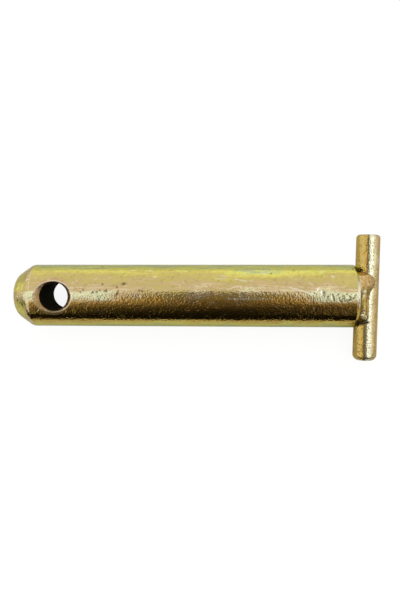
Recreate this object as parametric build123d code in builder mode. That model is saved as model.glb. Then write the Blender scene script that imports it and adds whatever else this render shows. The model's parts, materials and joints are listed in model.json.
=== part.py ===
from build123d import *

import os
from math import asin, atan2, cos, degrees, hypot, radians, sin, sqrt, tan

# Clevis pin with a welded T-handle, lying at rest. All lengths are in millimetres.
#
# The pin is a weldment of two round steel bars. The shank passes through the clevis, and a
# linch pin through the cross hole behind its nose keeps it there. The handle is a short bar
# laid across the shank's end face and welded along both of its sides.
#
# Frame: +X runs along the shank from the nose to the handle, +Z is up, and z = 0 is the
# surface that the pin lies on. The shank's axis is above y = 0, and the origin is halfway
# along the pin. The shank rolls until one end of the handle touches the surface.

inch = 25.4

# Shank
shank_diameter = 1.0 * inch
shank_length = 5.5 * inch           # from the nose's flat to the end face
nose_length = 7.8                   # axial length of the nose cone
nose_cone_angle = 34.0              # degrees between the cone and the axis
nose_corner_radius = 7.0            # between the nose's flat and the cone
nose_shoulder_radius = 3.0          # between the cone and the cylinder
end_chamfer_length = 1.2            # along the axis
end_chamfer_depth = 1.0             # across the axis
end_edge_radius = 0.4               # on both edges of the chamfer

# Cross hole, which takes a 7/16 in linch pin
hole_diameter = 29 / 64 * inch
hole_setback = 18.3                 # from the nose's flat to the hole's centre
countersink_diameter = 15.1
countersink_angle = 82.0            # included angle, in degrees

# Handle
handle_diameter = 3 / 8 * inch
handle_length = 2.0 * inch
handle_seat = 4.25                  # from the end face to the handle's axis
handle_offset = 0.63                # the handle's middle is this far below the shank's axis
handle_lean = 1.2                   # degrees that the handle was welded off square
handle_top_edge_radius = 1.4        # the ends were cropped, and one came out rounder
handle_foot_edge_radius = 2.4

# Weld bead. Each station across the end face gives the distance from the shank's axis along
# the handle, the bead's height up the end face and its reach over the handle.
weld_stations = (
    (9.4, 5.4, 3.0),
    (8.6, 7.2, 5.0),
    (6.8, 9.0, 6.9),
    (4.4, 10.2, 7.1),
    (1.6, 10.9, 5.7),
    (-2.5, 10.8, 5.2),
    (-6.5, 9.3, 5.1),
    (-9.0, 7.2, 4.6),
    (-9.9, 5.2, 3.0),
)
weld_crown = 0.7                    # how far the bead bulges past a straight slope
weld_root = 0.6                     # how far the bead's blank runs into the steel it joins

shank_radius = shank_diameter / 2
handle_radius = handle_diameter / 2
hole_radius = hole_diameter / 2

# The lying angle: how far the pin rolls until the foot of the handle meets the surface that
# the shank lies on. The foot's lowest point is on its rounded edge, so
# run * sin(angle) + half_width * cos(angle) + foot radius = shank radius.
foot_run = handle_length / 2 * cos(radians(handle_lean)) + handle_offset - handle_foot_edge_radius
foot_half_width = handle_radius - handle_foot_edge_radius
foot_drop = shank_radius - handle_foot_edge_radius
foot_span = hypot(foot_run, foot_half_width)
lying_angle = degrees(asin(foot_drop / foot_span) - atan2(foot_half_width, foot_run))

# Directions across the shank once it has rolled: along the handle, and out of the cross hole
handle_way = Vector(0, cos(radians(lying_angle)), sin(radians(lying_angle)))
hole_way = Vector(0, -sin(radians(lying_angle)), cos(radians(lying_angle)))

# Along X the origin is halfway between the nose's flat and the handle's far side
lean_reach = (handle_length / 2 - handle_top_edge_radius) * sin(radians(handle_lean))
overall_length = shank_length + handle_seat + lean_reach + handle_radius
nose_x = -overall_length / 2
end_x = nose_x + shank_length

nose_centre = Vector(nose_x, 0, shank_radius)
end_centre = Vector(end_x, 0, shank_radius)

# On this plane x is along the shank, y along the handle and z out of the cross hole
end_plane = Plane(origin=end_centre, x_dir=(1, 0, 0), z_dir=hole_way)


# Handle: a cropped bar with rounded ends, leaning a little towards +X at its top
lean_way = handle_way * cos(radians(handle_lean)) + Vector(1, 0, 0) * sin(radians(handle_lean))
handle_middle = end_plane.from_local_coords((handle_seat, -handle_offset, 0))
handle_plane = Plane(origin=handle_middle, x_dir=hole_way, z_dir=lean_way)

with BuildPart() as tee_handle:
    with BuildSketch(handle_plane):
        Circle(handle_radius)
    extrude(amount=handle_length / 2, both=True)
    end_edges = tee_handle.edges().filter_by(GeomType.CIRCLE).sort_by(Axis.Z)
    fillet(end_edges[-1], handle_top_edge_radius)
    fillet(end_edges[0], handle_foot_edge_radius)


# Shank: turned from bar, drilled and countersunk from both sides. The handle beds into the
# end face a little, where the weld draws the two together.
nose_flat_corner = shank_radius - nose_length * tan(radians(nose_cone_angle))
shank_axis = Axis(nose_centre, (1, 0, 0))
shank_plane = Plane(origin=nose_centre, x_dir=(1, 0, 0), z_dir=(0, -1, 0))
hole_centre = nose_centre + Vector(hole_setback, 0, 0)
hole_mouths = [Plane(origin=hole_centre + way * shank_radius, z_dir=way) for way in (hole_way, -hole_way)]

with BuildPart() as shank:
    with BuildSketch(shank_plane):
        with BuildLine():
            outline = FilletPolyline(
                (0, 0),
                (0, nose_flat_corner),
                (nose_length, shank_radius),
                (shank_length - end_chamfer_length, shank_radius),
                (shank_length, shank_radius - end_chamfer_depth),
                (shank_length, 0),
                radius=[nose_corner_radius, nose_shoulder_radius, end_edge_radius, end_edge_radius],
            )
            Line(outline @ 1, outline @ 0)
        make_face()
    revolve(axis=shank_axis)
    with Locations(*hole_mouths):
        CounterSinkHole(
            radius=hole_radius,
            counter_sink_radius=countersink_diameter / 2,
            counter_sink_angle=countersink_angle,
        )
    add(tee_handle.part, mode=Mode.SUBTRACT)


# Weld beads: a convex fillet on each side of the handle, widest where the weld was begun.
# The lower bead was begun at the other end, so it is the upper one turned half round.
def weld_section(station, turn):
    """Return the bead's section at one station, turned about the shank's axis."""
    along, height, reach = station
    toe = sqrt(handle_radius**2 - (reach - handle_seat) ** 2) - weld_root / 2
    slope = Vector(reach, toe - height)
    outward = Vector(-slope.Y, slope.X).normalized()
    crown = Vector(reach / 2, (height + toe) / 2) + outward * weld_crown
    way = handle_way.rotate(Axis.X, turn)
    with BuildSketch(Plane(origin=end_centre + way * along, x_dir=(1, 0, 0), z_dir=-way)) as section:
        with BuildLine():
            Polyline((reach, toe), (reach, weld_root), (-weld_root, weld_root), (-weld_root, height), (0, height))
            ThreePointArc((0, height), (crown.X, crown.Y), (reach, toe))
        make_face()
    return section.sketch


with BuildPart() as upper_weld_bead:
    loft([weld_section(station, 0) for station in weld_stations])
    add(shank.part, mode=Mode.SUBTRACT)
    add(tee_handle.part, mode=Mode.SUBTRACT)

with BuildPart() as lower_weld_bead:
    loft([weld_section(station, 180) for station in weld_stations])
    add(shank.part, mode=Mode.SUBTRACT)
    add(tee_handle.part, mode=Mode.SUBTRACT)


# Names and files
pieces = {
    "shank": shank.part,
    "tee_handle": tee_handle.part,
    "upper_weld_bead": upper_weld_bead.part,
    "lower_weld_bead": lower_weld_bead.part,
}
os.makedirs("parts", exist_ok=True)
for name, piece in pieces.items():
    piece.label = name
    export_step(piece, f"parts/{name}.step")
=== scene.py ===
import json
import math

import bpy
import numpy as np
from mathutils import Euler, Matrix, Vector, noise


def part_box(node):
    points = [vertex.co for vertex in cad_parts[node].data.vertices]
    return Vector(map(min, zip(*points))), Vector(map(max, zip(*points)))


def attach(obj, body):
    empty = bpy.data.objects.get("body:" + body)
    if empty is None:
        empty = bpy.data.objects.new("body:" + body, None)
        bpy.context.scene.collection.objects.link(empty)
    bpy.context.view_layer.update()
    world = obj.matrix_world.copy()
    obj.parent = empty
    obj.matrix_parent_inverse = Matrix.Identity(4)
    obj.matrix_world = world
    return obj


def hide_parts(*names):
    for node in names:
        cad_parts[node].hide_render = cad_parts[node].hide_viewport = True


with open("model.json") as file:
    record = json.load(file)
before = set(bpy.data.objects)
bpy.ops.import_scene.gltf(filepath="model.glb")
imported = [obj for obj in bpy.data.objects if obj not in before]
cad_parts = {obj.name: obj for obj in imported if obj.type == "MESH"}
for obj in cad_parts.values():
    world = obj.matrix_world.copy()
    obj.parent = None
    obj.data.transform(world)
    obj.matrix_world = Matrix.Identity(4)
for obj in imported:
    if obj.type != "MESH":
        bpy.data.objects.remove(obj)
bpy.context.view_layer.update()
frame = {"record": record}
print("frame loaded")

mm = 0.001

# What the frame says about the pin. The pin's own space is in millimetres: x runs along the shank from
# the nose's flat, y along the handle and z out of the cross hole.
shankLow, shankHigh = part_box("shank")
shankRadius = (shankHigh.z - shankLow.z) / 2 / mm
shankLength = (shankHigh.x - shankLow.x) / mm
crossHole = next(mount for mount in frame["record"]["mounts"] if mount["name"] == "cross_hole")
holeWay = Vector(crossHole["axis"])
holeAlong = (crossHole["pos_m"][0] - shankLow.x) / mm
holeRadius = crossHole["dims"]["r_mm"]
lyingAngle = math.atan2(-holeWay.y, holeWay.z)
pinPlace = Matrix.Translation((shankLow.x, 0, shankRadius * mm)) @ Matrix.Rotation(lyingAngle, 4, "X")
pinSpace = pinPlace @ Matrix.Scale(mm, 4)


# ---- node writing ----
class Wire:  # a socket's value in a node tree, with the operators that add Math nodes
    def __init__(self, shader, socket):
        self.shader = shader
        self.socket = socket

    def __add__(self, other):
        return self.shader.math("ADD", self, other)

    def __radd__(self, other):
        return self.shader.math("ADD", other, self)

    def __sub__(self, other):
        return self.shader.math("SUBTRACT", self, other)

    def __rsub__(self, other):
        return self.shader.math("SUBTRACT", other, self)

    def __mul__(self, other):
        return self.shader.math("MULTIPLY", self, other)

    def __rmul__(self, other):
        return self.shader.math("MULTIPLY", other, self)

    def __truediv__(self, other):
        return self.shader.math("DIVIDE", self, other)

    def __pow__(self, other):
        return self.shader.math("POWER", self, other)


class Shader:  # writes one node tree
    def __init__(self, tree):
        self.tree = tree
        tree.nodes.clear()

    def find(self, sockets, key):
        if isinstance(key, int):
            return sockets[key]
        return next((s for s in sockets if s.identifier == key), None) or sockets[key]

    def node(self, kind, settings=None, sockets=None, out=0):
        made = self.tree.nodes.new(kind)
        for name, value in (settings or {}).items():
            if name == "stops":
                self.fillRamp(made.color_ramp, value)
            else:
                setattr(made, name, value)
        for key, value in (sockets or {}).items():
            self.feed(self.find(made.inputs, key), value)
        return Wire(self, self.find(made.outputs, out)) if len(made.outputs) else made

    def feed(self, socket, value):
        if isinstance(value, Wire):
            self.tree.links.new(value.socket, socket)
        elif socket.type == "RGBA" and len(value) == 3:
            socket.default_value = (*value, 1)
        else:
            socket.default_value = value

    def fillRamp(self, ramp, stops):
        while len(ramp.elements) < len(stops):
            ramp.elements.new(1)
        for element, (place, colour) in zip(ramp.elements, sorted(stops)):
            element.position = place
            element.color = (*colour, 1) if isinstance(colour, tuple) else (colour, colour, colour, 1)

    def math(self, operation, first, second=0.0, clamp=False):
        settings = {"operation": operation, "use_clamp": clamp}
        return self.node("ShaderNodeMath", settings, {0: first, 1: second})

    def smooth(self, value, start, end, low=0.0, high=1.0):  # low before start, high after end, eased between
        settings = {"interpolation_type": "SMOOTHSTEP"}
        sockets = {"Value": value, "From Min": start, "From Max": end, "To Min": low, "To Max": high}
        return self.node("ShaderNodeMapRange", settings, sockets)

    def mix(self, factor, first, second):
        sockets = {"Factor_Float": factor, "A_Color": first, "B_Color": second}
        return self.node("ShaderNodeMix", {"data_type": "RGBA"}, sockets, "Result_Color")

    def ramp(self, value, stops):
        return self.node("ShaderNodeValToRGB", {"stops": stops}, {"Fac": value})

    def noise(self, vector, scale, detail=2.0, rough=0.5, distort=0.0):
        sockets = {"Vector": vector, "Scale": scale, "Detail": detail}
        sockets |= {"Roughness": rough, "Distortion": distort}
        return self.node("ShaderNodeTexNoise", {}, sockets, "Fac")

    def vectorMath(self, operation, first, second=(0, 0, 0), out=0):
        return self.node("ShaderNodeVectorMath", {"operation": operation}, {0: first, 1: second}, out)

    def split(self, vector):
        parts = self.node("ShaderNodeSeparateXYZ", {}, {0: vector}, "X")
        return [Wire(self, output) for output in parts.socket.node.outputs]

    def join(self, x, y, z):
        return self.node("ShaderNodeCombineXYZ", {}, {0: x, 1: y, 2: z})


# ---- camera ----
# It looks almost straight down the cross hole, from above the middle of the shank.
cameraView = {
    "place": (92.71, 12.08, 271.97),     # in the pin's space
    "turn": (-2.916, 3.415, 0.017),      # degrees from looking straight down the cross hole
    "lens": 39.81,
}


def makeCamera(values):
    data = bpy.data.cameras.new("camera")
    data.sensor_width = 36
    data.lens = values["lens"]
    data.clip_start = 0.01
    camera = bpy.data.objects.new("camera", data)
    turn = Euler([math.radians(a) for a in values["turn"]]).to_matrix().to_4x4()
    camera.matrix_world = (
        Matrix.Translation(pinSpace @ Vector(values["place"])) @ Matrix.Rotation(lyingAngle, 4, "X") @ turn
    )
    bpy.context.scene.collection.objects.link(camera)
    bpy.context.scene.camera = camera


makeCamera(cameraView)
print("camera placed")

# ---- studio ----
# A white tent with one unlit side, which the lower half of the shank reflects.
studio = {
    # the tent's light, by degrees round the shank from the cross hole's axis toward the handle's top
    "tent": [
        (-180, 0.5), (-100, 0.006), (-66, 0.014), (-50, 0.040), (-38, 0.11), (-28, 0.28), (-18, 0.68),
        (-9, 0.98), (4, 1.05), (30, 1.0), (180, 1.0),
    ],
    "headGlow": 0.15,        # light on the unlit side near the handle, and where it is: along and round
    "headReach": (0.105, 0.165), "headTurn": (-30, -48), "headEnd": (-99, -94),
    "tentEnds": (0.24, 0.55),  # how far along the shank's way the tent's unlit side reaches
    "floorReach": 0.042,     # metres of lit floor in front of the pin
    "floorColour": (0.93, 0.93, 0.93),
    "floorGlow": 0.86,       # share of the floor's white that has no shadow
    "floorMirrored": 0.72,   # how bright the floor is in reflections
    # the viewer: height and centre from the shank's end and half sizes, in millimetres, then darkness
    "viewerHeight": 600, "viewerCentre": (-76, -70), "viewerSize": (122, 262), "viewerDark": 0.77,
    "bodyLevel": 0.50,       # the light left in the unlit side behind the viewer, and where it is
    "bodyTurn": (-12, -32), "bodyReach": (0.20, 0.06),
    # a brighter patch of the tent: its way in the pin's space, its size and its level
    "lampWay": (0.52, 0.06, 0.86), "lampSize": 0.34, "lampLevel": 1.0,
}


def makeWorld(values):
    world = bpy.data.worlds.new("tent")
    bpy.context.scene.world = world
    world.use_nodes = True
    shader = Shader(world.node_tree)
    way = shader.node("ShaderNodeTexCoord", {}, {}, "Generated")
    handleWay = pinPlace.to_3x3() @ Vector((0, 1, 0))
    up = shader.vectorMath("DOT_PRODUCT", way, tuple(holeWay), "Value")
    side = shader.vectorMath("DOT_PRODUCT", way, tuple(handleWay), "Value")
    along = shader.split(way)[0]
    turned = shader.math("ARCTAN2", side, up + along * along * 0.8) * math.degrees(1)
    stops = [((angle + 180) / 360, level) for angle, level in values["tent"]]
    tent = shader.node("ShaderNodeSeparateColor", {}, {0: shader.ramp(turned / 360 + 0.5, stops)})
    reach = shader.math("ABSOLUTE", along)
    body = shader.smooth(turned, *values["bodyTurn"]) * shader.smooth(reach, *values["bodyReach"])
    tent = tent * (1 - body * (1 - values["bodyLevel"]))
    tent = tent + (1 - tent) * shader.smooth(reach, *values["tentEnds"])
    glow = values["headGlow"] * shader.smooth(along, *values["headReach"])
    glow = glow * shader.smooth(turned, *values["headTurn"])
    tent = shader.math("MAXIMUM", tent, glow * shader.smooth(turned, *values["headEnd"]))
    lampWay = pinPlace.to_3x3() @ Vector(values["lampWay"]).normalized()
    fromLamp = shader.vectorMath("DISTANCE", way, tuple(lampWay), "Value")
    lamp = shader.smooth(fromLamp, values["lampSize"], 0.0) * values["lampLevel"]
    ray = shader.node("ShaderNodeLightPath", {}, {}, "Is Glossy Ray")
    level = 1 - ray * (1 - tent - lamp)
    shader.node(
        "ShaderNodeOutputWorld", {},
        {"Surface": shader.node("ShaderNodeBackground", {}, {"Color": (1, 1, 1), "Strength": level})},
    )


def makeViewer(values):  # the dark shape of whoever stands over the pin, seen only in its reflections
    mesh = bpy.data.meshes.new("viewer")
    mesh.from_pydata([(-1.5, -1.5, 0), (1.5, -1.5, 0), (1.5, 1.5, 0), (-1.5, 1.5, 0)], [], [(0, 1, 2, 3)])
    viewer = bpy.data.objects.new("viewer", mesh)
    bpy.context.scene.collection.objects.link(viewer)
    fromEnd, aside = values["viewerCentre"]
    middle = Vector((shankLength + fromEnd, aside, values["viewerHeight"]))
    size = Vector((*values["viewerSize"], 1)) * mm
    level = Matrix.Rotation(lyingAngle, 4, "X") @ Matrix.Diagonal(size).to_4x4()
    viewer.matrix_world = Matrix.Translation(pinSpace @ middle) @ level
    material = bpy.data.materials.new("viewerDark")
    material.use_nodes = True
    shader = Shader(material.node_tree)
    off = shader.vectorMath("LENGTH", shader.node("ShaderNodeTexCoord", {}, {}, "Object"), (0, 0, 0), "Value")
    dark = shader.smooth(off, 0.78, 1.22, values["viewerDark"], 0.0)
    clear = shader.node("ShaderNodeBsdfTransparent", {}, {"Color": (1, 1, 1)})
    black = shader.node("ShaderNodeEmission", {}, {"Color": (0, 0, 0), "Strength": 0.0})
    shade = shader.node("ShaderNodeMixShader", {}, {0: dark, 1: clear, 2: black})
    shader.node("ShaderNodeOutputMaterial", {}, {"Surface": shade})
    mesh.materials.append(material)
    viewer.visible_camera = viewer.visible_diffuse = False
    viewer.visible_shadow = viewer.visible_transmission = False


def makeFloor(values):
    mesh = bpy.data.meshes.new("floor")
    mesh.from_pydata([(-2, -2, 0), (2, -2, 0), (2, 2, 0), (-2, 2, 0)], [], [(0, 1, 2, 3)])
    floor = bpy.data.objects.new("floor", mesh)
    bpy.context.scene.collection.objects.link(floor)
    material = bpy.data.materials.new("floorPaper")
    material.use_nodes = True
    shader = Shader(material.node_tree)
    place = shader.split(shader.node("ShaderNodeTexCoord", {}, {}, "Object"))
    reach = values["floorReach"]
    dark = shader.smooth(place[1], -reach - 0.002, -reach + 0.002, 1.0, 0.0)
    ray = shader.node("ShaderNodeLightPath", {}, {}, "Is Glossy Ray")
    camera = shader.node("ShaderNodeLightPath", {}, {}, "Is Camera Ray")
    mirrored = tuple(values["floorMirrored"] * channel for channel in values["floorColour"])
    colour = shader.mix(ray, values["floorColour"], shader.mix(dark, mirrored, (0.006, 0.006, 0.005)))
    paper = shader.node("ShaderNodeBsdfDiffuse", {}, {"Color": colour})
    glow = (1.03 - (1 - values["floorGlow"]) * values["floorColour"][0]) / values["floorGlow"]
    white = shader.node("ShaderNodeEmission", {}, {"Color": (1, 1, 1), "Strength": glow})
    seen = shader.node("ShaderNodeMixShader", {}, {0: camera * values["floorGlow"], 1: paper, 2: white})
    shader.node("ShaderNodeOutputMaterial", {}, {"Surface": seen})
    mesh.materials.append(material)


makeWorld(studio)
makeFloor(studio)
makeViewer(studio)
bpy.context.scene.view_settings.view_transform = "Standard"
print("studio lit")

# ---- plating ----
# Yellow chromate over zinc. Its film shows a different colour at each thickness, from thin to thick.
filmColours = [
    (0.00, (0.44, 0.47, 0.30)),
    (0.14, (0.55, 0.58, 0.26)),
    (0.28, (0.76, 0.73, 0.16)),
    (0.40, (0.70, 0.60, 0.15)),
    (0.52, (0.60, 0.49, 0.15)),
    (0.64, (0.56, 0.45, 0.17)),
    (0.76, (0.60, 0.43, 0.23)),
    (0.86, (0.68, 0.58, 0.32)),
    (1.00, (0.72, 0.70, 0.42)),
]
warmFilm = (0.66, 0.34, 0.055)
coneColours = [
    (0.0, (0.16, 0.17, 0.07)), (0.35, (0.40, 0.26, 0.10)), (0.7, (0.62, 0.40, 0.24)),
    (1.0, (0.74, 0.62, 0.36)),
]
# bare metal, also used for painted highlights; then a near black for dirt and for painted shade
bareAndHighlightColour = (0.90, 0.87, 0.70)
dirtAndShadeColour = (0.022, 0.018, 0.010)
pockColour = (0.10, 0.06, 0.015)


def plating(name, values):
    material = bpy.data.materials.new(name)
    material.use_nodes = True
    shader = Shader(material.node_tree)
    place = shader.node(
        "ShaderNodeMapping", {"vector_type": "TEXTURE"},
        {
            "Vector": shader.node("ShaderNodeTexCoord", {}, {}, "Object"),
            "Location": tuple(values["centre"]),
            "Rotation": tuple(values["turn"]),
            "Scale": (mm, mm, mm),
        },
    )
    along, side, up = shader.split(place)
    drawn = shader.join(along * values["streakStretch"], side, up)
    streaks = shader.noise(drawn, 0.9, 3, 0.6)
    bands = shader.noise(drawn, 0.25, 2, 0.5, 0.3)
    clouds = shader.noise(place, 0.09, 2, 0.5, 0.4)
    mottle = shader.noise(place, 0.6, 3, 0.6)
    grain = shader.noise(place, 2.6, 2, 0.6)
    turned = shader.math("ARCTAN2", side, up) / math.tau + 0.5
    wander = (clouds - 0.5) * values["bandWander"]
    band = shader.node("ShaderNodeSeparateColor", {}, {0: shader.ramp(turned + wander, values["bands"])})
    thickness, warmth = (Wire(shader, output) for output in band.socket.node.outputs[:2])
    if values["noseEnd"]:
        nose = shader.ramp(along / 10 + (mottle - 0.5) * 0.05, values["nose"])
        nose = shader.node("ShaderNodeSeparateColor", {}, {0: nose})
        onNose = shader.smooth(along, values["noseEnd"] + 0.1, values["noseEnd"] - 0.1)
        thickness = thickness + (nose + (mottle - 0.5) * 0.5 - thickness) * onNose
        warmth = warmth * (1 - onNose)
    tint = shader.node("ShaderNodeAttribute", {"attribute_name": "tint"}, {}, "Fac")
    film = (
        thickness
        + (streaks - 0.5) * values["streaks"]
        + (bands - 0.5) * values["broadStreaks"]
        + (clouds - 0.5) * values["clouds"]
        + (mottle - 0.5) * values["mottle"]
        + (grain - 0.5) * values["grain"]
        + tint
    )
    colour = shader.ramp(film, filmColours)
    speckle = shader.smooth(warmth, 0, 0.1) * (grain - 0.5) * 0.6
    warmth = warmth + (mottle - 0.5) * values["warmMottle"] + speckle
    # the pale layer, set mostly where highlights are painted, takes the warm tone away
    pale = shader.node("ShaderNodeAttribute", {"attribute_name": "pale"}, {}, "Fac")
    warmth = shader.math("MULTIPLY", warmth, 1 - pale, clamp=True)
    colour = shader.mix(warmth, colour, warmFilm)
    shade = 1 + (streaks - 0.5) * values["shading"] + (grain - 0.5) * values["shading"]
    colour = shader.vectorMath("MULTIPLY", colour, shader.join(shade, shade, shade), "Vector")
    sockets = {"Vector": place, "Scale": values["pockScale"]}
    cells = shader.node("ShaderNodeTexVoronoi", {}, sockets, "Distance")
    pocked = shader.smooth(bands + mottle, values["pockFrom"], values["pockFrom"] + 0.25)
    pocks = shader.smooth(cells, 0.34, 0.06) * pocked
    colour = shader.mix(pocks * values["pockDark"], colour, pockColour)
    # layers painted on the pieces: bare metal together with painted highlights, and dirt together with
    # painted shade
    wear = shader.node("ShaderNodeAttribute", {"attribute_name": "wear"}, {}, "Fac")
    grime = shader.node("ShaderNodeAttribute", {"attribute_name": "grime"}, {}, "Fac")
    if values["boreRadius"]:
        # painted shade: the bore of the cross hole is painted near black
        fromHole = shader.math("SQRT", (along - holeAlong) ** 2 + side**2)
        bore = shader.smooth(fromHole, values["boreRadius"] + 0.12, values["boreRadius"] + 0.02)
        grime = shader.math("MAXIMUM", grime, bore)
        sinkRadius = shankForm["sinkDiameter"] / 2
        cone = shader.smooth(fromHole, sinkRadius + 0.1, sinkRadius - 0.1)
        coneTint = shader.ramp(mottle * 1.6 - 0.3 + side * 0.02, coneColours)
        colour = shader.mix(cone * 0.75, colour, coneTint)
    colour = shader.mix(wear, colour, bareAndHighlightColour)
    colour = shader.mix(grime, colour, dirtAndShadeColour)
    roughness = values["roughness"] + (mottle - 0.5) * 0.12 + (grain - 0.5) * 0.1 + grime * 0.4
    if values["boreRadius"]:
        roughness = roughness + cone * 0.25
    height = (
        shader.noise(place, 0.45, 1, 0.5) * values["wobble"]
        + shader.noise(place, 1.4, 0.6, 0.5) * values["peel"]
        + shader.noise(place, 2.3, 0, 0.5) * values["grit"]
        - pocks * values["pockDepth"]
    )
    bump = shader.node("ShaderNodeBump", {}, {"Strength": 1.0, "Distance": mm, "Height": height}, "Normal")
    surface = shader.node(
        "ShaderNodeBsdfPrincipled", {},
        {
            "Base Color": colour, "Metallic": 1.0, "Roughness": roughness, "Normal": bump,
            "Specular Tint": values["edgeTint"],
        },
    )
    shader.node("ShaderNodeOutputMaterial", {}, {"Surface": surface})
    return material


# ---- turned pieces ----
def roundedOutline(corners, radii, spacing):
    # The corners are (along, radius) points. Each inner corner is rounded, and straights are divided by
    # spacing.
    points = [np.array(corners[0], float)]
    for before, corner, after, radius in zip(corners, corners[1:], corners[2:], radii):
        before, corner, after = (np.array(p, float) for p in (before, corner, after))
        inWay = (corner - before) / np.linalg.norm(corner - before)
        outWay = (after - corner) / np.linalg.norm(after - corner)
        turn = math.acos(float(np.clip(inWay @ outWay, -1, 1)))
        cut = radius * math.tan(turn / 2)
        start, end = corner - inWay * cut, corner + outWay * cut
        hub = corner + (outWay - inWay) / np.linalg.norm(outWay - inWay) * radius / math.cos(turn / 2)
        steps = max(4, int(radius * turn / 0.35))
        fromHub, toHub = start - hub, end - hub
        points.append(start)
        for step in range(1, steps):
            share = step / steps
            mixed = fromHub * math.sin((1 - share) * turn) + toHub * math.sin(share * turn)
            points.append(hub + mixed / math.sin(turn))
        points.append(end)
    points.append(np.array(corners[-1], float))
    filled = [points[0]]
    for last, here in zip(points, points[1:]):
        gap = np.linalg.norm(here - last)
        steps = max(1, int(round(gap / spacing)))
        filled += [last + (here - last) * step / steps for step in range(1, steps + 1)]
    return np.array(filled)


def lathe(name, outline, angles, space, sink):
    # Turns the outline round its own axis. sink gives how far each point lies under the true surface, and the
    # layers painted there: wear and painted highlights, dirt and painted shade.
    along, radius = outline[1:-1, 0][:, None], outline[1:-1, 1][:, None]
    way = np.gradient(outline, axis=0)[1:-1]
    way /= np.linalg.norm(way, axis=1)[:, None]
    depth, layers = sink(along, radius, angles[None, :])
    alongNow = along + way[:, 1][:, None] * depth
    radiusNow = radius - way[:, 0][:, None] * depth
    rows, turns = depth.shape
    grid = np.stack([alongNow, radiusNow * np.sin(angles), radiusNow * np.cos(angles)], axis=-1)
    grid = grid.reshape(-1, 3)
    poles = np.array([[outline[0, 0], 0, 0], [outline[-1, 0], 0, 0]])
    points = np.concatenate([grid, poles])
    row, turn = np.meshgrid(np.arange(rows - 1), np.arange(turns), indexing="ij")
    nextTurn = (turn + 1) % turns
    here, beyond = row * turns, (row + 1) * turns
    quads = np.stack([here + turn, beyond + turn, beyond + nextTurn, here + nextTurn], -1)
    ring = np.arange(turns)
    firstFan = np.stack([np.full(turns, rows * turns), ring, (ring + 1) % turns], -1)
    base = (rows - 1) * turns
    lastFan = np.stack([np.full(turns, rows * turns + 1), base + (ring + 1) % turns, base + ring], -1)
    faces = quads.reshape(-1, 4).tolist() + firstFan.tolist() + lastFan.tolist()
    mesh = bpy.data.meshes.new(name)
    mesh.from_pydata(points.tolist(), [], faces)
    for label, values in layers.items():
        paint(mesh, label, np.concatenate([values.ravel(), [0, 0]]))
    mesh.transform(space)
    return newPiece(name, mesh)


def paint(mesh, label, values):  # one value at each point of the mesh
    mesh.attributes.new(label, "FLOAT", "POINT").data.foreach_set("value", values.astype(np.float32))


def newPiece(name, mesh):
    piece = bpy.data.objects.new(name, mesh)
    bpy.context.scene.collection.objects.link(piece)
    return piece


def applyModifiers(piece):
    graph = bpy.context.evaluated_depsgraph_get()
    mesh = bpy.data.meshes.new_from_object(piece.evaluated_get(graph), depsgraph=graph)
    piece.modifiers.clear()
    piece.data = mesh


def shadeSmooth(piece, sharpAngle):
    piece.data.shade_smooth()
    piece.data.set_sharp_from_angle(angle=math.radians(sharpAngle))


# ---- shank ----
shankForm = {
    "noseLength": 7.8, "noseAngle": 34.0, "noseCorner": 7.0, "noseShoulder": 3.0,
    "chamferLength": 1.2, "chamferDepth": 1.0, "edge": 0.4,
    "sinkDiameter": 15.1, "sinkAngle": 82.0, "rimRounding": 0.22,
    "spacing": 0.31, "denseFrom": -58, "denseTo": 72, "denseStep": 1.0, "coarseStep": 5.4,
    "waviness": 0.015, "nicks": 260, "nickSeed": 11,
    "lemonAt": (106, 46), "lemonSize": (26, 16),  # millimetres along, then degrees round
}
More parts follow.
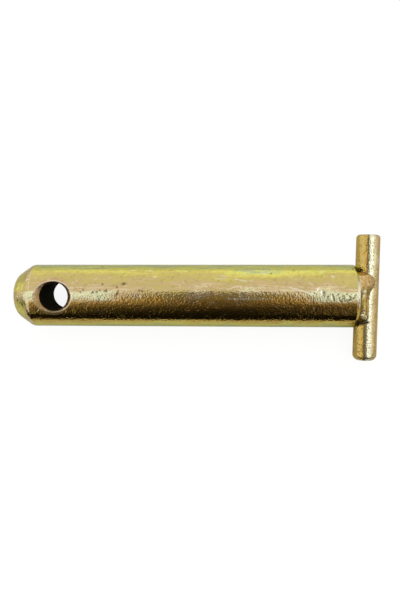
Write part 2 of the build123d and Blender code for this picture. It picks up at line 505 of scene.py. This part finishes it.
# Marks on the shank: (along from the nose, degrees round from the cross hole, size along, size round, depth,
# turn in degrees, wear), with sizes and depths in millimetres.
shankMarks = [
    (34.9, 7.7, 0.40, 0.42, 0.12, 0, 0), (36.4, 8.5, 0.42, 0.42, 0.13, 0, 0),
    (37.6, 11.2, 0.35, 0.35, 0.09, 0, 0),
    (40.1, 9.9, 0.62, 0.5, 0.18, 20, 0), (38.4, 22.7, 0.45, 0.42, 0.10, 0, 0),
    (44.3, 17.6, 0.4, 0.45, 0.08, 0, 0),
    (29.8, 8.4, 0.38, 0.38, 0.09, 0, 0), (30.8, 12.0, 0.38, 0.34, 0.08, 0, 0),
    (53.3, 10.8, 0.4, 0.4, 0.10, 0, 0),
    (54.5, 9.7, 0.45, 0.4, 0.12, 0, 0), (46.9, 23.7, 1.0, 0.6, 0.09, 10, 0),
    (44.7, 6.0, 0.32, 1.1, 0.09, -22, 0),
    (59.1, 37.8, 0.6, 0.35, 0.08, 0, 0.5), (37.0, 68.5, 0.6, 0.5, 0.1, 0, 0),
    (123.2, 14.3, 0.35, 0.9, 0.14, -35, 0.95), (124.7, 7.7, 0.35, 1.0, 0.18, 0, 0.95),
    (125.5, 7.7, 0.28, 0.9, 0.12, 0, 0), (126.7, 0.8, 0.26, 0.7, 0.12, -40, 0),
    (129.0, -2.4, 0.26, 0.75, 0.12, 10, 0),
    (131.8, -8.0, 0.26, 0.7, 0.10, 40, 0), (132.6, -2.5, 0.7, 0.24, 0.10, 40, 0),
    (132.7, 2.5, 0.7, 0.24, 0.10, 40, 0),
    (135.1, -4.0, 0.9, 0.28, 0.13, 40, 0), (135.3, 1.0, 0.7, 0.24, 0.11, -40, 0),
    (130.5, 4.5, 0.6, 0.22, 0.10, 40, 0),
    (134.0, 6.0, 0.6, 0.22, 0.08, 40, 0), (128.6, 3.5, 0.22, 0.6, 0.08, 20, 0),
    (136.6, -1.5, 0.7, 0.24, 0.1, 40, 0),
    (137.2, 3.5, 0.5, 0.22, 0.1, 40, 0), (131.2, -0.5, 0.5, 0.22, 0.08, 40, 0),
    (133.8, -6.0, 0.6, 0.24, 0.1, 40, 0),
    (129.2, 39.4, 0.6, 0.6, 0.08, 0, 0.5), (105.1, 46.2, 0.4, 0.4, 0.09, 0, 0),
    (102.3, 46.2, 0.8, 0.3, 0.05, 0, 0.6),
    (114.1, 57.0, 0.5, 0.35, 0.08, 0, 0),
]
# Scratches: both ends as (along, degrees round), then half width, depth and wear
shankScratches = [
    ((111.2, 18.9), (122.2, 5.3), 0.28, 0.045, 0.55), ((90.5, 33.7), (96.0, 28.4), 0.22, 0.03, 0.5),
    ((87.4, 12.6), (92.7, 21.1), 0.22, 0.03, 0.45), ((92.9, 9.1), (94.1, -4.1), 0.22, 0.05, 0.4),
    ((83.5, 40.3), (88.5, 40.0), 0.25, 0.02, 0.35), ((83.0, 33.7), (88.0, 34.5), 0.22, 0.02, 0.35),
    ((124.6, 63.6), (125.0, 45.3), 0.25, 0.03, 0.4), ((86.3, -3.3), (106.5, -3.0), 0.24, 0.0, 0.55),
]
shankPlating = {
    "centre": pinPlace.translation, "turn": (lyingAngle, 0, 0),
    "streakStretch": 0.12, "bandWander": 0.05, "streaks": 0.60, "broadStreaks": 0.40, "clouds": 0.36,
    "mottle": 0.30, "grain": 0.30, "shading": 0.34, "boreRadius": holeRadius, "warmMottle": 0.5,
    "noseEnd": 8.7,
    "nose": [  # film thickness by tenths of the way along the first 10 mm
        (0.0, 0.42), (0.45, 0.42), (0.60, 0.50), (0.70, 0.74), (0.79, 0.74), (0.835, 0.62), (0.85, 1.0),
        (1.0, 1.0),
    ],
    "bands": [  # film thickness and warmth round the shank, from one side of its underside to the other
        (0.00, (0.45, 0.1, 0)), (0.20, (0.36, 0.1, 0)), (0.28, (0.16, 0.0, 0)), (0.33, (0.28, 0.0, 0)),
        (0.345, (0.40, 0.15, 0)), (0.36, (0.42, 0.45, 0)), (0.38, (0.42, 0.7, 0)), (0.41, (0.45, 0.6, 0)),
        (0.44, (0.60, 0.8, 0)), (0.475, (0.66, 0.85, 0)), (0.492, (0.70, 0.55, 0)), (0.506, (0.74, 0.22, 0)),
        (0.53, (0.76, 0.0, 0)), (0.57, (0.70, 0.0, 0)), (0.60, (0.60, 0.0, 0)), (0.625, (0.50, 0.0, 0)),
        (0.65, (0.36, 0.0, 0)), (0.67, (0.28, 0.0, 0)), (0.69, (0.16, 0.0, 0)), (0.715, (0.10, 0.0, 0)),
        (0.77, (0.34, 0.1, 0)),
        (0.84, (0.40, 0.0, 0)), (1.00, (0.45, 0.1, 0)),
    ],
    "edgeTint": (0.90, 0.90, 0.76), "roughness": 0.12, "wobble": 0.05, "peel": 0.075, "grit": 0.02,
    "pockScale": 1.5, "pockDepth": 0.05, "pockFrom": 0.95, "pockDark": 0.5,
}


def window(along, arc, x, y, reach):  # the part of the grid within reach of a point
    rows = np.nonzero(np.abs(along[:, 0] - x) < reach)[0]
    turns = np.nonzero(np.abs(arc[0] - y) < reach)[0]
    if not len(rows) or not len(turns):
        return None
    return slice(rows[0], rows[-1] + 1), slice(turns[0], turns[-1] + 1)


def shankSink(along, radius, angle):
    signed = (angle + math.pi) % (2 * math.pi) - math.pi
    arc = shankRadius * signed
    depth = np.zeros(np.broadcast(along, angle).shape)
    wear, grime, tint = np.zeros_like(depth), np.zeros_like(depth), np.zeros_like(depth)

    def press(x, y, sizeAlong, sizeRound, deep, turn, worn, darkening):
        part = window(along, arc, x, y, 3 * max(sizeAlong, sizeRound))
        if part is None:
            return
        dx, dy = along[part[0]] - x, arc[:, part[1]] - y
        cosTurn, sinTurn = math.cos(turn), math.sin(turn)
        off = np.hypot((dx * cosTurn + dy * sinTurn) / sizeAlong, (dy * cosTurn - dx * sinTurn) / sizeRound)
        depth[part] += deep * np.exp(-(off**2))
        wear[part] = np.maximum(wear[part], worn * np.exp(-((off / 1.1) ** 2)))
        grime[part] = np.maximum(grime[part], darkening * np.exp(-((off / 0.9) ** 2)))

    for x, turned, sizeAlong, sizeRound, deep, turn, worn in shankMarks:
        y = shankRadius * math.radians(turned)
        press(x, y, sizeAlong, sizeRound, deep, math.radians(turn), worn, 0.9 if worn == 0 else 0)
    rng = np.random.default_rng(shankForm["nickSeed"])
    for _ in range(shankForm["nicks"]):
        x, y = rng.uniform(9, shankLength - 2), shankRadius * math.radians(rng.uniform(-50, 68))
        length, width = rng.uniform(0.3, 1.3), rng.uniform(0.18, 0.28)
        fresh = rng.random() < 0.3
        deep, turn = rng.uniform(0.015, 0.05), rng.uniform(-1.2, 1.2)
        press(x, y, length, width, deep, turn, 0.35 * fresh, 0.3 * (not fresh))
    for (alongA, turnedA), (alongB, turnedB), half, deep, worn in shankScratches:
        a = np.array([alongA, shankRadius * math.radians(turnedA)])
        b = np.array([alongB, shankRadius * math.radians(turnedB)])
        way = b - a
        length = np.linalg.norm(way)
        share = np.clip(((along - a[0]) * way[0] + (arc - a[1]) * way[1]) / length**2, 0, 1)
        off = np.hypot(along - a[0] - way[0] * share, arc - a[1] - way[1] * share) / half
        taper = np.clip(np.minimum(share, 1 - share) * 8, 0.15, 1)
        depth += deep * taper * np.exp(-(off**2))
        wear = np.maximum(wear, worn * taper * np.exp(-(off**2)))
    # the rims of the cross hole are rounded, and painted pale along the rounding as a highlight
    for facing in (0, math.pi):
        y = radius * np.sin(angle - facing)
        up = radius * np.cos(angle - facing)
        slope = math.tan(math.radians(shankForm["sinkAngle"] / 2))
        cone = shankForm["sinkDiameter"] / 2 - (shankRadius - up) * slope
        outside = np.hypot(along - holeAlong, y) - np.maximum(cone, holeRadius)
        outside = np.where(up > 0, outside, 9)
        past = np.clip(outside / shankForm["rimRounding"], 0, 1)
        depth += 0.5 * shankForm["rimRounding"] * (1 - np.sqrt(1 - (1 - past) ** 2))
        wear = np.maximum(wear, 0.8 * np.clip(1 - np.abs(outside - 0.15) / 0.3, 0, 1))
    wave = np.sin(along * 0.21 + 1.3 * np.sin(angle * 2)) * np.cos(angle * 3 + along * 0.05)
    depth += shankForm["waviness"] * (1 + wave) / 2
    # a painted highlight toward both ends of the top, as paler film, and lemon patches on the side of the
    # handle's top
    turned = np.degrees(signed)
    top = np.clip((11 - turned) / 3, 0, 1) * np.clip((turned + 13) / 8, 0, 1)
    endward = np.clip((47 - along) / 8, 0, 1) + np.clip((along - 116) / 8, 0, 1)
    pale = top * endward
    tint += 0.30 * pale
    (lemonAlong, lemonTurned), (lemonLength, lemonWidth) = shankForm["lemonAt"], shankForm["lemonSize"]
    lemon = np.clip(1 - np.abs(turned - lemonTurned) / lemonWidth, 0, 1)
    lemon = lemon * np.clip(1 - np.abs(along - lemonAlong) / lemonLength, 0, 1)
    tint -= 0.22 * np.minimum(lemon * 1.6, 1)
    # the end's chamfer is painted pale as a highlight, and the seams beside the handle are painted dark as
    # shadow
    chamfer = np.clip((along - (shankLength - 1.25)) / 0.3, 0, 1)
    wear = np.maximum(wear, 0.9 * chamfer * np.clip(1 - np.abs(turned - 6) / 26, 0, 1) ** 0.3)
    seam = np.clip((along - (shankLength - 1.6)) / 0.5, 0, 1)
    beside = np.clip((np.abs(turned - 2) - 47) / 5, 0, 1) * np.clip((78 - np.abs(turned)) / 5, 0, 1)
    grime = np.maximum(grime, seam * beside)
    wear = wear * (1 - grime)
    flat = (radius < 0.5) * 1.0
    return depth * (1 - flat), {"wear": wear, "grime": grime, "tint": tint, "pale": pale}


def makeShank(form):
    noseRise = form["noseLength"] * math.tan(math.radians(form["noseAngle"]))
    corners = [
        (0, 0), (0, shankRadius - noseRise), (form["noseLength"], shankRadius),
        (shankLength - form["chamferLength"], shankRadius),
        (shankLength, shankRadius - form["chamferDepth"]), (shankLength, 0),
    ]
    radii = [form["noseCorner"], form["noseShoulder"], form["edge"], form["edge"]]
    outline = roundedOutline(corners, radii, form["spacing"])
    dense = np.arange(form["denseFrom"], form["denseTo"], form["denseStep"])
    coarseCount = int(round((360 - (form["denseTo"] - form["denseFrom"])) / form["coarseStep"]))
    coarse = np.linspace(form["denseTo"], form["denseFrom"] + 360, coarseCount, endpoint=False)
    piece = lathe("pinShank", outline, np.radians(np.concatenate([dense, coarse])), pinSpace, shankSink)
    reach = shankRadius + 2
    slope = math.tan(math.radians(form["sinkAngle"] / 2))
    sinkRadius = form["sinkDiameter"] / 2
    sinkFoot = shankRadius - (sinkRadius - holeRadius) / slope
    mouth = sinkRadius + 2 * slope
    cutCorners = [
        (-reach, 0), (-reach, mouth), (-sinkFoot, holeRadius),
        (sinkFoot, holeRadius), (reach, mouth), (reach, 0),
    ]
    cutOutline = roundedOutline(cutCorners, [0.01, 0.3, 0.3, 0.01], 1.2)
    holeSpace = pinSpace @ Matrix.Translation((holeAlong, 0, 0)) @ Matrix.Rotation(-math.pi / 2, 4, "Y")
    cutter = lathe("holeCutter", cutOutline, np.radians(np.arange(0, 360, 3)), holeSpace, boreSink)
    bore = piece.modifiers.new("bore", "BOOLEAN")
    bore.operation, bore.solver, bore.object = "DIFFERENCE", "MANIFOLD", cutter
    applyModifiers(piece)
    bpy.data.objects.remove(cutter)
    shadeSmooth(piece, 38)
    return piece


def boreSink(along, radius, angle):  # a plain surface, with the same layers as the shank
    depth = np.zeros(np.broadcast(along, angle).shape)
    return depth, {"wear": depth, "grime": depth, "tint": depth, "pale": depth}


shank = makeShank(shankForm)
shank.data.materials.clear()
shank.data.materials.append(plating("zincShank", shankPlating))
print("shank:", len(shank.data.polygons), "faces")

# ---- handle ----
handleForm = {
    "radius": 4.7625, "length": 50.8, "seat": 4.25, "offset": 0.63, "lean": 1.2,
    "topEdge": 1.4, "footEdge": 2.4, "spacing": 0.3, "turns": 100, "waviness": 0.02,
}
handleTurn = Euler((0, 0, math.radians(90 - handleForm["lean"])))
handlePlace = Matrix.Translation((shankLength + handleForm["seat"], -handleForm["offset"], 0))
handleSpace = pinSpace @ handlePlace @ handleTurn.to_matrix().to_4x4()
handlePlating = {
    "centre": handleSpace.translation,
    "turn": (handleSpace.to_3x3().normalized()).to_euler(),
    "streakStretch": 0.25, "bandWander": 0.06, "streaks": 0.36, "broadStreaks": 0.20, "clouds": 0.25,
    "mottle": 0.36, "grain": 0.3, "shading": 0.4, "boreRadius": 0, "warmMottle": 1.4, "noseEnd": 0,
    "bands": [
        (0.00, (0.45, 0.1, 0)), (0.20, (0.30, 0.2, 0)), (0.28, (0.30, 0.2, 0)), (0.325, (0.36, 0.4, 0)),
        (0.35, (0.56, 0.6, 0)), (0.375, (0.76, 0.1, 0)), (0.42, (0.80, 0.0, 0)), (0.44, (0.98, 0.0, 0)),
        (0.525, (0.98, 0.0, 0)), (0.54, (0.60, 0.6, 0)), (0.56, (0.56, 0.6, 0)), (0.60, (0.56, 0.25, 0)),
        (0.68, (0.50, 0.35, 0)), (0.75, (0.45, 0.6, 0)), (0.85, (0.40, 0.3, 0)), (1.00, (0.45, 0.1, 0)),
    ],
    "edgeTint": (0.90, 0.90, 0.76), "roughness": 0.11, "wobble": 0.12, "peel": 0.19, "grit": 0.05,
    "pockScale": 1.3, "pockDepth": 0.14, "pockFrom": 0.70, "pockDark": 0.8,
}


def handleSink(along, radius, angle):
    turned = np.degrees((angle + math.pi) % (2 * math.pi) - math.pi) + 0 * along
    depth = handleForm["waviness"] * (1 + np.sin(along * 0.35) * np.sin(angle * 2 + along * 0.1)) / 2
    wander = 3 * np.sin(along * 0.9) + 2 * np.sin(along * 2.3 + 1)
    # painted highlight: a pale stripe along the top of the handle
    wear = 0.75 * np.exp(-(((turned + 8 + wander * 0.5) / 7.5) ** 4))
    # painted reflection: a dark line along the handle where the viewer is mirrored, wider on the lower half
    shadeAt = np.where(along > 0, 8.0, 11.0)
    shadeWidth = np.where(along > 0, 4.5, 9.0)
    grime = 0.66 * np.exp(-(((turned - shadeAt - wander * 0.4) / shadeWidth) ** 4))
    # painted shadow in the seams where the beads end beside the shank
    for side, facing in ((-1, 0), (1, 180)):
        around = (side * -(turned - facing) + 180) % 360 - 180
        bend = 9.0 - handleForm["offset"] * side + 1.5 * around / 70
        within = np.clip((around + 12) / 10, 0, 1) * np.clip((84 - around) / 8, 0, 1)
        grime = np.maximum(grime, np.exp(-(((side * along - bend) / 0.5) ** 4)) * within)
    wear = wear * (1 - grime)
    return depth, {"wear": wear, "grime": grime}


def makeHandle(form):
    half = form["length"] / 2
    corners = [(-half, 0), (-half, form["radius"]), (half, form["radius"]), (half, 0)]
    outline = roundedOutline(corners, [form["footEdge"], form["topEdge"]], form["spacing"])
    angles = np.radians(np.arange(form["turns"]) * 360 / form["turns"])
    piece = lathe("teeHandle", outline, angles, handleSpace, handleSink)
    shadeSmooth(piece, 60)
    return piece


handle = makeHandle(handleForm)
handle.data.materials.append(plating("zincHandle", handlePlating))
print("handle:", len(handle.data.polygons), "faces")

# ---- weld ----
# Stations down the bead: place along the handle, height up the end face, reach over the handle, bulge, ridge
# and groove depth, all in millimetres
weldForm = {
    "stations": [
        (9.9, 4.2, 2.2, 0.30, 0.00, 0.00), (9.4, 5.6, 3.4, 0.55, 0.00, 0.00),
        (8.6, 7.4, 5.2, 0.70, 0.00, 0.05),
        (6.8, 9.0, 6.9, 0.75, 0.02, 0.10), (4.4, 10.2, 6.9, 0.70, 0.10, 0.15),
        (2.6, 10.7, 5.7, 0.50, 0.35, 0.45),
        (1.0, 10.9, 4.9, 0.40, 0.50, 0.70), (-2.5, 10.8, 4.5, 0.35, 0.55, 0.80),
        (-6.5, 9.4, 4.5, 0.40, 0.45, 0.65),
        (-9.0, 7.3, 4.2, 0.50, 0.10, 0.10), (-9.9, 5.4, 3.2, 0.45, 0.00, 0.00),
        (-10.4, 4.0, 2.0, 0.25, 0.00, 0.00),
    ],
    "rows": 150, "columns": 64, "ridgePlace": 0.36, "ridgeWidth": 0.12,
    "groovePlace": 0.80, "grooveWidth": 0.10,
    "lump": 0.22, "lumpSize": 1.6, "dimple": 0.10, "dimpleSize": 0.6,
    "ripplePitch": 1.05, "rippleHeight": 0.05, "sunk": 0.12,
    "narrowFrom": 4.4,       # where down the bead its narrow, ridged part starts
    "glints": [(-2.9, 0.66), (-6.8, 0.22), (-7.6, 0.62), (-8.6, 0.66), (2.2, 0.30), (0.6, 0.28)],
    "glintSize": (0.55, 0.07),
}
weldPlating = {
    **shankPlating, "streakStretch": 1.0, "streaks": 0.35, "broadStreaks": 0.2, "clouds": 0.1, "mottle": 0.4,
    "grain": 0.2, "shading": 0.3, "boreRadius": 0, "bands": [(0.0, (0.60, 0.50, 0)), (1.0, (0.60, 0.50, 0))],
    "roughness": 0.10, "wobble": 0.16, "peel": 0.14, "grit": 0.04, "warmMottle": 1.4, "noseEnd": 0,
}


def through(places, values, at):  # a smooth curve through the values
    slopes = np.gradient(values, places)
    index = np.clip(np.searchsorted(places, at) - 1, 0, len(places) - 2)
    gap = places[index + 1] - places[index]
    t = (at - places[index]) / gap
    return (
        values[index] * (2 * t**3 - 3 * t**2 + 1) + slopes[index] * gap * (t**3 - 2 * t**2 + t)
        + values[index + 1] * (3 * t**2 - 2 * t**3) + slopes[index + 1] * gap * (t**3 - t**2)
    )


def makeWeld(name, form, turn, seed):
    stations = np.array(sorted(form["stations"]))
    places = stations[:, 0]
    at = np.linspace(places[-1], places[0], form["rows"])
    height, reach, crown, ridge, groove = (through(places, stations[:, i], at)[:, None] for i in range(1, 6))
    across = np.linspace(0, 1, form["columns"])[None, :]
    seat, handleRadius = handleForm["seat"], handleForm["radius"]
    toe = np.sqrt(np.maximum(handleRadius**2 - (reach - seat) ** 2, 0.01)) - form["sunk"]
    x, z = reach * across - form["sunk"] * (1 - across), height + (toe - height) * across
    slope = np.hypot(reach, toe - height)
    outX, outZ = (height - toe) / slope, reach / slope
    bulge = crown * 4 * across * (1 - across)
    ridgeLine = np.exp(-(((across - form["ridgePlace"]) / form["ridgeWidth"]) ** 2))
    grooveLine = np.exp(-(((across - form["groovePlace"]) / form["grooveWidth"]) ** 2))
    bulge = bulge + ridge * ridgeLine - groove * grooveLine
    inner = np.minimum(1, np.minimum(across, 1 - across) * 8)
    y = np.broadcast_to(at[:, None], bulge.shape)
    lumps = np.zeros(bulge.shape)
    for index in np.ndindex(bulge.shape):
        spot = Vector((x[index], y[index], z[index] + seed))
        lumps[index] = form["lump"] * noise.noise(spot / form["lumpSize"])
        lumps[index] += form["dimple"] * noise.noise(spot / form["dimpleSize"])
    bulge = bulge + lumps * inner
    x, z = x + outX * bulge, z + outZ * bulge
    hidden = np.array([[seat + 1.0, 1.6], [seat - 1.6, 1.2], [-0.4, 1.8]])
    rows, columns = x.shape
    points = np.concatenate([
        np.stack([x, y, z], -1),
        np.stack([
            np.broadcast_to(np.minimum(hidden[None, :, 0], reach), (rows, 3)),
            np.broadcast_to(at[:, None], (rows, 3)),
            np.broadcast_to(hidden[None, :, 1], (rows, 3)),
        ], -1),
    ], axis=1)
    loop = columns + 3
    row, column = np.meshgrid(np.arange(rows - 1), np.arange(loop), indexing="ij")
    after = (column + 1) % loop
    here, beyond = row * loop, (row + 1) * loop
    quads = np.stack([here + column, beyond + column, beyond + after, here + after], -1)
    ends = [list(range(loop)), [(rows - 1) * loop + i for i in reversed(range(loop))]]
    mesh = bpy.data.meshes.new(name)
    mesh.from_pydata(points.reshape(-1, 3).tolist(), [], quads.reshape(-1, 4).tolist() + ends)
    narrow = np.clip((form["narrowFrom"] - y) / 3, 0, 1)
    edge = np.exp(-(((across - 0.965) / 0.03) ** 2)) + np.exp(-(((across - 0.03) / 0.03) ** 2))
    crest = np.exp(-(((across - form["ridgePlace"]) / 0.07) ** 2))
    tint = (1 - narrow) * (0.22 + 0.25 * edge) - narrow * (0.26 * crest - 0.34 * edge)
    # painted shade: dark along the groove, along the seam by the end face, in a line inside the toe of the
    # upper lobe, and black at both ends of the bead
    grime = 0.92 * narrow * np.exp(-(((across - form["groovePlace"]) / 0.075) ** 2))
    grime = np.maximum(grime, 0.8 * narrow * np.exp(-(((across - 0.10) / 0.05) ** 2)))
    grime = np.maximum(grime, 0.85 * (1 - narrow) * np.exp(-(((across - 0.90) / 0.024) ** 2)))
    nearEnd = np.clip((-8.9 - y) / 0.7, 0, 1) + np.clip((y - 9.3) / 0.5, 0, 1)
    grime = np.maximum(grime, 0.95 * nearEnd)
    # painted shade in the hollows between the lumps, less on the ridge
    darkening = np.clip(0.45 - lumps / form["lump"] * 1.4, 0, 1) * (0.20 + 0.45 * narrow) * (1 - crest * narrow)
    grime = np.maximum(grime, darkening)
    # painted highlights: along the lower part of the ridge, and the glints
    wear = narrow * crest * np.clip((-3 - y) / 3, 0, 1) * 0.4
    glintLength, glintWidth = form["glintSize"]
    for glintAt, glintAcross in form["glints"]:
        glint = ((y - glintAt) / glintLength) ** 2 + ((across - glintAcross) / glintWidth) ** 2
        wear = np.maximum(wear, np.exp(-glint))
    grime = grime * (1 - 0.9 * wear)
    flow = y + 0.9 * (2 * across - 1) ** 2
    pad = np.zeros((rows, 3))
    # the pale layer takes the warm tone off the painted highlights, the ridge and both edges
    pale = np.maximum(wear, np.maximum(0.45 * narrow * crest, 0.8 * edge))
    layers = {
        "tint": tint, "grime": grime, "wear": wear, "pale": pale,
        "flow": flow, "crest": inner * (1 - 0.6 * narrow),
    }
    for label, values in layers.items():
        paint(mesh, label, np.concatenate([values, pad], axis=1).ravel())
    mesh.transform(pinSpace @ Matrix.Translation((shankLength, 0, 0)) @ Matrix.Rotation(turn, 4, "X"))
    return newPiece(name, mesh)


def rippleNodes():  # waves that follow the bead's flow attribute, as high as its crest attribute
    group = bpy.data.node_groups.new("weldRipples", "GeometryNodeTree")
    sides = [("Bead", "INPUT", "NodeSocketGeometry"), ("Rippled", "OUTPUT", "NodeSocketGeometry")]
    sides += [(label, "INPUT", "NodeSocketFloat") for label in ("Pitch", "Height")]
    sides += [("Material", "INPUT", "NodeSocketMaterial")]
    for label, side, kind in sides:
        group.interface.new_socket(label, in_out=side, socket_type=kind)
    tree = Shader(group)
    bead = tree.node("NodeGroupInput", out="Bead")
    outputs = bead.socket.node.outputs
    pitch, height, material = (Wire(tree, outputs[label]) for label in ("Pitch", "Height", "Material"))
    flow, crest = (
        tree.node("GeometryNodeInputNamedAttribute", {"data_type": "FLOAT"}, {"Name": label}, "Attribute")
        for label in ("flow", "crest")
    )
    wave = tree.math("SINE", flow / pitch * math.tau) * height * crest
    normal = tree.node("GeometryNodeInputNormal", out="Normal")
    offset = tree.vectorMath("MULTIPLY", normal, tree.join(wave, wave, wave), "Vector")
    moved = tree.node("GeometryNodeSetPosition", {}, {"Geometry": bead, "Offset": offset}, "Geometry")
    plain = tree.node("GeometryNodeRealizeInstances", {}, {"Geometry": moved}, "Geometry")
    done = tree.node("GeometryNodeSetMaterial", {}, {"Geometry": plain, "Material": material}, "Geometry")
    tree.node("NodeGroupOutput", {}, {"Rippled": done})
    return group


def setInput(modifier, label, value):
    sockets = modifier.node_group.interface.items_tree
    modifier[next(s.identifier for s in sockets if s.name == label)] = value


weldMaterial = plating("zincWeld", weldPlating)
ripples = rippleNodes()
welds = []
for index, (name, node) in enumerate((("upperWeld", "upper_weld_bead"), ("lowerWeld", "lower_weld_bead"))):
    bead = makeWeld(name, weldForm, index * math.pi, index * 7.3)
    skin = bead.modifiers.new("ripples", "NODES")
    skin.node_group = ripples
    setInput(skin, "Pitch", weldForm["ripplePitch"])
    setInput(skin, "Height", weldForm["rippleHeight"] * mm)
    setInput(skin, "Material", weldMaterial)
    applyModifiers(bead)
    shadeSmooth(bead, 50)
    welds.append((bead, node, "zinc_weld"))
print("welds:", sum(len(bead.data.polygons) for bead, node, slot in welds), "faces")

# ---- frame ----
for piece, node, slot in [(shank, "shank", "zinc_shank"), (handle, "tee_handle", "zinc_handle")] + welds:
    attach(piece, "root")
    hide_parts(node)
